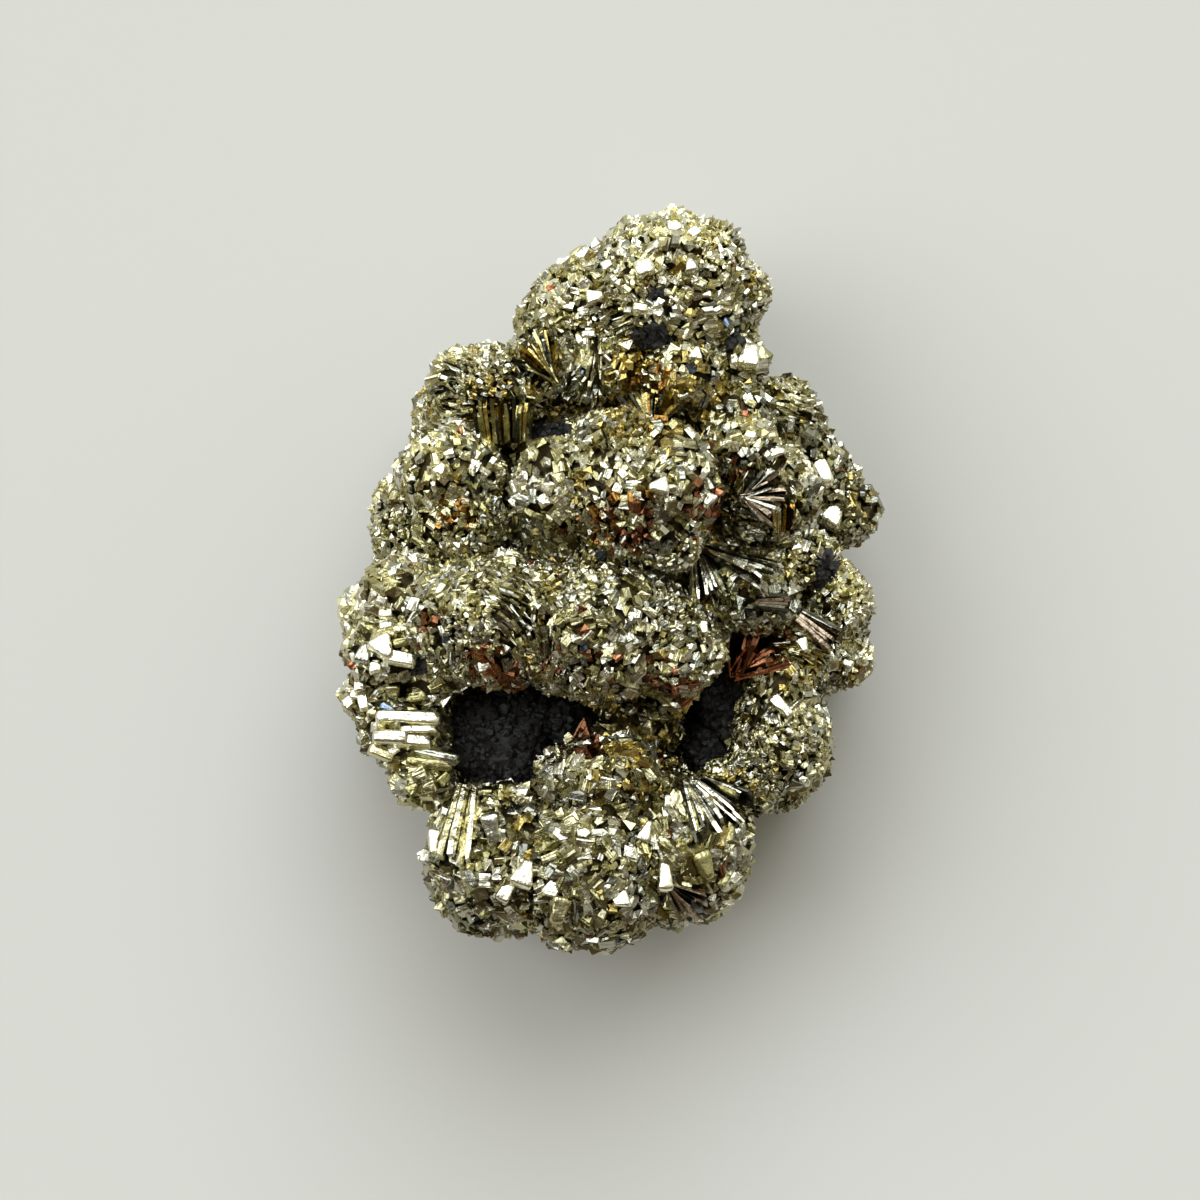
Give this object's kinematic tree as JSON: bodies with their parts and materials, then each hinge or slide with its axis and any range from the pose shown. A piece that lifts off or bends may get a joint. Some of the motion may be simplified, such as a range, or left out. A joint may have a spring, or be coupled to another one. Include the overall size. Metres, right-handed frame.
{
  "type": "marcasite specimen",
  "caption": "Hand-sized marcasite specimen: a lumpy cluster of knobs covered with flat-faced brassy crystals, on black matrix rock, lying on a flat cut.",
  "frame": {"origin": "on the flat cut underneath, below the middle of the outline", "axes": "+Z out of the best face, away from the cut; +Y towards the crown, along the specimen's length; +X to its right"},
  "size_m": [0.046, 0.062, 0.0322],
  "materials": {
    "metallic_marcasite": "metallic pale brass, flat crystal faces, tarnished golden and copper in places",
    "black_shale": "matt black, crumbly"
  },
  "bodies": {
    "root": {"marcasite": "metallic_marcasite", "matrix": "black_shale"}
  },
  "joints": []
}
